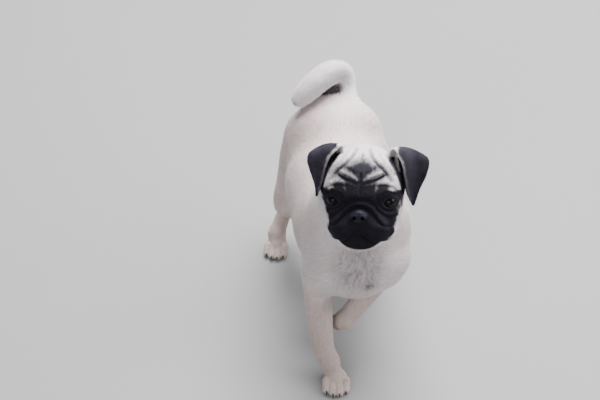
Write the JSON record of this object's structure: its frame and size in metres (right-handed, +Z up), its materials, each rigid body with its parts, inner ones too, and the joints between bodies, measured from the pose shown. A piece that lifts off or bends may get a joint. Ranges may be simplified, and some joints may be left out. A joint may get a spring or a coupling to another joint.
{
  "type": "pug dog figure",
  "caption": "Life-size still figure of a young fawn pug walking with its head raised, ears folded, tail curled and a forepaw lifted.",
  "frame": {"origin": "middle of the figure's box in plan, at the floor under the three paws it stands on", "axes": "+Z up, -Y the way the dog walks, +X the dog's left side"},
  "size_m": [0.1978, 0.3828, 0.3877],
  "materials": {
    "coat": "short fawn coat with a black mask",
    "ear": "black velvet ear",
    "nose": "moist black nose leather",
    "eye": "wet dark brown eye"
  },
  "bodies": {
    "root": {"torso": "coat", "neck": "coat", "head": "coat", "tail": "coat", "foreleg_left": "coat", "foreleg_right": "coat", "hindleg_left": "coat", "hindleg_right": "coat", "forepaw_left": "coat", "forepaw_right": "coat", "hindpaw_left": "coat", "hindpaw_right": "coat", "ear_left": "ear", "ear_right": "ear", "nose": "nose", "eye_left": "eye", "eye_right": "eye"}
  },
  "joints": []
}
